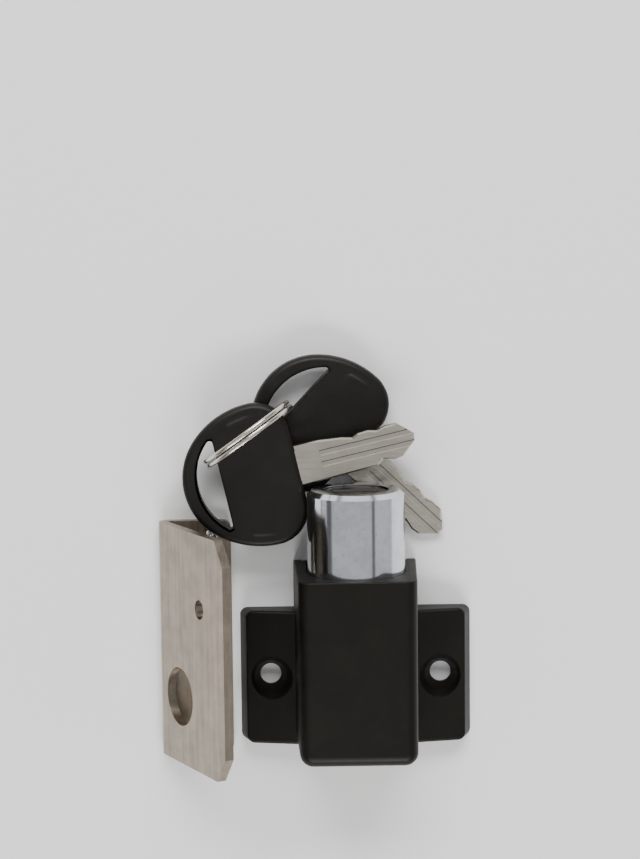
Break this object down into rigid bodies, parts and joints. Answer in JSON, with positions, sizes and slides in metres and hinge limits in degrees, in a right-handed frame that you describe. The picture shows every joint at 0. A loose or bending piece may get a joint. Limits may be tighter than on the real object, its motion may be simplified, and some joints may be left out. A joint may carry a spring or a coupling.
{
  "type": "sliding patio door lock",
  "caption": "Push-to-lock barrel lock for a sliding patio door: flanged housing, sprung barrel with keyed plug, keys on a split ring, folded strike and fixing screws.",
  "frame": {"origin": "midway between the two screw holes of the lock, on its mounting face", "axes": "+X across the screw holes, +Y along the barrel towards the key end, +Z out of the mounting face"},
  "size_m": [0.0618, 0.0801, 0.028],
  "materials": {
    "black_paint": "satin black",
    "chrome": "bright plated",
    "brass": "machined",
    "steel": "machined",
    "spring_steel": "drawn wire",
    "nickel": "satin nickel",
    "head_plastic": "satin moulded",
    "strike_steel": "satin plated",
    "screw_steel": "bright plated"
  },
  "bodies": {
    "housing": {"housing": "black_paint", "back_cover": "black_paint", "cover_screws": "steel", "guide_screw": "steel", "bolt_bush": "brass", "return_spring": "spring_steel"},
    "barrel": {"barrel": "chrome", "bolt": "steel", "bolt_pin": "steel", "spring_washer": "steel", "dog_spring": "spring_steel"},
    "plug": {"plug": "brass", "plug_wafers": "brass", "wafer_springs": "spring_steel", "plug_clip": "spring_steel", "plug_disc": "steel"},
    "dog": {"locking_dog": "steel"},
    "front_key": {"key_ring": "spring_steel", "key_blade_front": "nickel", "key_head_front": "head_plastic"},
    "rear_key": {"key_blade_rear": "nickel", "key_head_rear": "head_plastic"},
    "strike": {"strike_plate": "strike_steel"},
    "screws": {"fixing_screws": "screw_steel"}
  },
  "joints": [
    {"name": "barrel_slide", "type": "slide", "parent": "housing", "child": "barrel", "axis": [0, -1, 0], "range_m": [0, 0.011], "stiffness_N_per_m": 600, "springref_m": -0.006, "deforming": ["return_spring"]},
    {"name": "plug_turn", "type": "hinge", "parent": "barrel", "child": "plug", "pos_m": [0, 0.028, 0.0132], "axis": [0, 1, 0], "range_deg": [0, 90]},
    {"name": "dog_slide", "type": "slide", "parent": "barrel", "child": "dog", "axis": [-1, 0, 0], "range_m": [0, 0.0013], "deforming": ["dog_spring"]},
    {"name": "keys_slide", "type": "slide", "parent": "housing", "child": "front_key", "axis": [0, 1, 0], "range_m": [0, 0.06]},
    {"name": "rear_key_swing", "type": "hinge", "parent": "front_key", "child": "rear_key", "pos_m": [-0.015, 0.0539, 0.004], "axis": [0, 0, 1], "range_deg": [0, 14]},
    {"name": "strike_slide", "type": "slide", "parent": "housing", "child": "strike", "axis": [-1, 0, 0], "range_m": [0, 0.04]},
    {"name": "screws_slide", "type": "slide", "parent": "strike", "child": "screws", "axis": [0, -1, 0], "range_m": [0, 0.06]}
  ],
  "couplings": [
    {"joint": "dog_slide", "follows": "plug_turn", "m_per_rad": 0.0008276}
  ]
}
